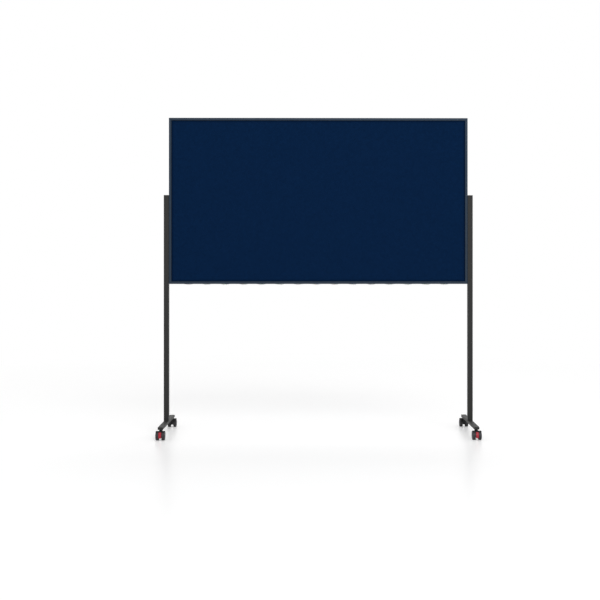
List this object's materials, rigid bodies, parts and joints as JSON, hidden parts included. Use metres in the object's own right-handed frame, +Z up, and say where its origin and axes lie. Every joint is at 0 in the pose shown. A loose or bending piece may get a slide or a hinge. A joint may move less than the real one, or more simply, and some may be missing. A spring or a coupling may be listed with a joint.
{
  "type": "rolling partition",
  "caption": "Wide felt pinboard partition in a slim metal frame between two posts, on foot beams with swivel casters and brake levers.",
  "frame": {"origin": "on the floor, below the middle of the board", "axes": "+Z up; X across the board, +X to the viewer's right; the front face looks towards -Y"},
  "size_m": [1.8886, 0.5455, 1.9],
  "materials": {
    "frame_anodised": "satin",
    "post_coat": "satin",
    "felt": "matte",
    "fibreboard": "matte",
    "clip_plastic": "satin",
    "black_plastic": "satin",
    "wheel_plastic": "satin",
    "red_plastic": "satin",
    "black_steel": "satin",
    "steel": "satin",
    "cast_alloy": "matte"
  },
  "bodies": {
    "stand": {"top_rail": "frame_anodised", "bottom_rail": "frame_anodised", "left_side_rail": "frame_anodised", "right_side_rail": "frame_anodised", "front_felt": "felt", "rear_felt": "felt", "board_core": "fibreboard", "clip_strip": "clip_plastic", "bottom_left_corner_key": "cast_alloy", "bottom_right_corner_key": "cast_alloy", "top_right_corner_key": "cast_alloy", "top_left_corner_key": "cast_alloy", "left_post": "post_coat", "left_foot_beam": "post_coat", "left_post_cap": "black_plastic", "left_upper_hole_plug": "black_plastic", "left_lower_hole_plug": "black_plastic", "left_post_insert": "cast_alloy", "left_front_base_bolt": "steel", "left_rear_base_bolt": "steel", "left_upper_board_bolt": "steel", "left_lower_board_bolt": "steel", "right_post": "post_coat", "right_foot_beam": "post_coat", "right_post_cap": "black_plastic", "right_upper_hole_plug": "black_plastic", "right_lower_hole_plug": "black_plastic", "right_post_insert": "cast_alloy", "right_front_base_bolt": "steel", "right_rear_base_bolt": "steel", "right_upper_board_bolt": "steel", "right_lower_board_bolt": "steel", "front_left_beam_cap": "black_plastic", "front_left_caster_stem": "black_steel", "front_right_beam_cap": "black_plastic", "front_right_caster_stem": "black_steel", "rear_left_beam_cap": "black_plastic", "rear_left_caster_stem": "black_steel", "rear_right_beam_cap": "black_plastic", "rear_right_caster_stem": "black_steel"},
    "front_left_fork": {"front_left_caster_hood": "black_plastic", "front_left_caster_axle": "steel", "front_left_lever_pin": "steel"},
    "front_left_left_wheel": {"front_left_left_wheel": "wheel_plastic"},
    "front_left_right_wheel": {"front_left_right_wheel": "wheel_plastic"},
    "front_left_brake_lever": {"front_left_brake_lever": "red_plastic"},
    "front_right_fork": {"front_right_caster_hood": "black_plastic", "front_right_caster_axle": "steel", "front_right_lever_pin": "steel"},
    "front_right_left_wheel": {"front_right_left_wheel": "wheel_plastic"},
    "front_right_right_wheel": {"front_right_right_wheel": "wheel_plastic"},
    "front_right_brake_lever": {"front_right_brake_lever": "red_plastic"},
    "rear_left_fork": {"rear_left_caster_hood": "black_plastic", "rear_left_caster_axle": "steel"},
    "rear_left_left_wheel": {"rear_left_left_wheel": "wheel_plastic"},
    "rear_left_right_wheel": {"rear_left_right_wheel": "wheel_plastic"},
    "rear_right_fork": {"rear_right_caster_hood": "black_plastic", "rear_right_caster_axle": "steel"},
    "rear_right_left_wheel": {"rear_right_left_wheel": "wheel_plastic"},
    "rear_right_right_wheel": {"rear_right_right_wheel": "wheel_plastic"}
  },
  "joints": [
    {"name": "front_left_swivel", "type": "hinge", "parent": "stand", "child": "front_left_fork", "pos_m": [-0.9156, -0.226, 0.05], "axis": [0, 0, 1], "continuous": true},
    {"name": "front_left_left_wheel_spin", "type": "hinge", "parent": "front_left_fork", "child": "front_left_left_wheel", "pos_m": [-0.9156, -0.246, 0.025], "axis": [1, 0, 0], "continuous": true},
    {"name": "front_left_right_wheel_spin", "type": "hinge", "parent": "front_left_fork", "child": "front_left_right_wheel", "pos_m": [-0.9156, -0.246, 0.025], "axis": [1, 0, 0], "continuous": true},
    {"name": "front_left_brake", "type": "hinge", "parent": "front_left_fork", "child": "front_left_brake_lever", "pos_m": [-0.9156, -0.2365, 0.042], "axis": [1, 0, 0], "range_deg": [0, 10]},
    {"name": "front_right_swivel", "type": "hinge", "parent": "stand", "child": "front_right_fork", "pos_m": [0.9156, -0.226, 0.05], "axis": [0, 0, 1], "continuous": true},
    {"name": "front_right_left_wheel_spin", "type": "hinge", "parent": "front_right_fork", "child": "front_right_left_wheel", "pos_m": [0.9156, -0.246, 0.025], "axis": [1, 0, 0], "continuous": true},
    {"name": "front_right_right_wheel_spin", "type": "hinge", "parent": "front_right_fork", "child": "front_right_right_wheel", "pos_m": [0.9156, -0.246, 0.025], "axis": [1, 0, 0], "continuous": true},
    {"name": "front_right_brake", "type": "hinge", "parent": "front_right_fork", "child": "front_right_brake_lever", "pos_m": [0.9156, -0.2365, 0.042], "axis": [1, 0, 0], "range_deg": [0, 10]},
    {"name": "rear_left_swivel", "type": "hinge", "parent": "stand", "child": "rear_left_fork", "pos_m": [-0.9156, 0.226, 0.05], "axis": [0, 0, 1], "continuous": true},
    {"name": "rear_left_left_wheel_spin", "type": "hinge", "parent": "rear_left_fork", "child": "rear_left_left_wheel", "pos_m": [-0.9156, 0.246, 0.025], "axis": [1, 0, 0], "continuous": true},
    {"name": "rear_left_right_wheel_spin", "type": "hinge", "parent": "rear_left_fork", "child": "rear_left_right_wheel", "pos_m": [-0.9156, 0.246, 0.025], "axis": [1, 0, 0], "continuous": true},
    {"name": "rear_right_swivel", "type": "hinge", "parent": "stand", "child": "rear_right_fork", "pos_m": [0.9156, 0.226, 0.05], "axis": [0, 0, 1], "continuous": true},
    {"name": "rear_right_left_wheel_spin", "type": "hinge", "parent": "rear_right_fork", "child": "rear_right_left_wheel", "pos_m": [0.9156, 0.246, 0.025], "axis": [1, 0, 0], "continuous": true},
    {"name": "rear_right_right_wheel_spin", "type": "hinge", "parent": "rear_right_fork", "child": "rear_right_right_wheel", "pos_m": [0.9156, 0.246, 0.025], "axis": [1, 0, 0], "continuous": true}
  ]
}
